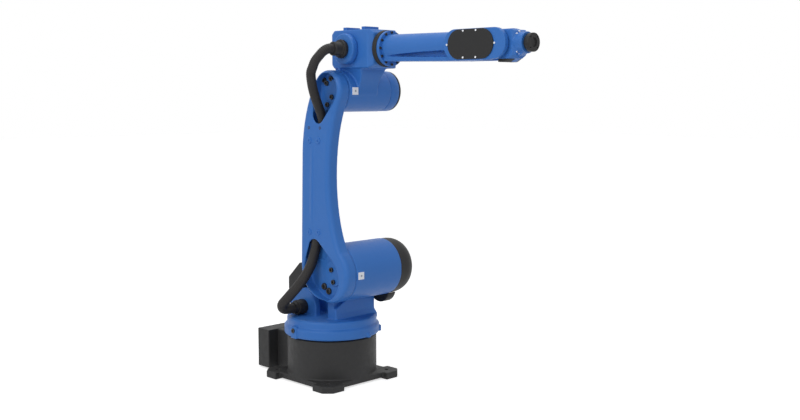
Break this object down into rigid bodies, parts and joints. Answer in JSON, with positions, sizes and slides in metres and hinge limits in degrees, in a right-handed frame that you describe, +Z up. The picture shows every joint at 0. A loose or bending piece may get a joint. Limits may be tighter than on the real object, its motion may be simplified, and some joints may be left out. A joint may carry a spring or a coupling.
{
  "type": "six-axis industrial robot",
  "caption": "Floor-standing six-axis jointed robot arm for tending moulding machines, with a square base, curved hollow lower arm, slim forearm and a round tool flange.",
  "frame": {"origin": "on the floor, on the turning (first) axis, at the centre of the four anchor holes", "axes": "+X forward along the forearm, +Y to the robot's left, +Z up"},
  "size_m": [1.734, 0.6073, 1.79],
  "materials": {
    "blue_paint": "semi-gloss powder paint",
    "black_paint": "matt black paint",
    "black_plastic": "moulded, fine grain",
    "seal_rubber": "matt",
    "hose_plastic": "corrugated conduit",
    "black_steel": "black oxide",
    "white_mark": "gloss"
  },
  "bodies": {
    "base": {"base_casting": "black_paint", "rear_connector_box": "black_paint", "connector_panel": "black_paint", "base_seal_ring": "seal_rubber"},
    "turret": {"turret_casting": "blue_paint", "turning_motor": "black_plastic", "turret_gland": "black_plastic", "shoulder_motor_cap": "black_plastic", "motor_cable_box": "black_plastic", "shoulder_seal_ring": "seal_rubber", "shoulder_mark": "white_mark"},
    "lower_arm": {"lower_arm": "blue_paint", "shoulder_gearbox_face": "blue_paint", "elbow_gearbox_face": "blue_paint", "lower_hose": "hose_plastic"},
    "elbow": {"elbow_casting": "blue_paint", "elbow_seal_ring": "seal_rubber", "elbow_motor_cover": "blue_paint", "elbow_end_cap": "black_plastic", "elbow_mark": "white_mark", "rear_top_pad": "blue_paint", "front_top_pad": "blue_paint", "box_gland_boss": "blue_paint", "box_gland": "black_plastic", "forearm_seal_ring": "seal_rubber", "upper_hose": "hose_plastic"},
    "forearm": {"forearm_flange": "blue_paint", "forearm_tube": "blue_paint", "wrist_housing": "blue_paint", "right_wrist_cover": "black_plastic", "left_wrist_cover": "black_plastic"},
    "wrist": {"wrist_pivot_right": "black_steel", "wrist_pivot_left": "black_steel", "wrist_body": "blue_paint", "wrist_under_cover": "black_plastic", "wrist_seal_ring": "seal_rubber"},
    "tool": {"tool_flange": "black_steel"}
  },
  "joints": [
    {"name": "j1_turn", "type": "hinge", "parent": "base", "child": "turret", "pos_m": [0, 0, 0.239], "axis": [0, 0, 1], "range_deg": [-155, 155]},
    {"name": "j2_shoulder", "type": "hinge", "parent": "turret", "child": "lower_arm", "pos_m": [0.175, 0, 0.58], "axis": [0, 1, 0], "range_deg": [-65, 90], "deforming": ["lower_hose"]},
    {"name": "j3_elbow", "type": "hinge", "parent": "lower_arm", "child": "elbow", "pos_m": [0.175, 0, 1.48], "axis": [0, -1, 0], "range_deg": [-75, 110], "deforming": ["upper_hose"]},
    {"name": "j4_roll", "type": "hinge", "parent": "elbow", "child": "forearm", "pos_m": [0.4277, 0, 1.681], "axis": [1, 0, 0], "range_deg": [-180, 180]},
    {"name": "j5_wrist", "type": "hinge", "parent": "forearm", "child": "wrist", "pos_m": [1.138, 0, 1.681], "axis": [0, 1, 0], "range_deg": [-115, 115]},
    {"name": "j6_tool", "type": "hinge", "parent": "wrist", "child": "tool", "pos_m": [1.2777, 0, 1.681], "axis": [1, 0, 0], "range_deg": [-360, 360]}
  ]
}
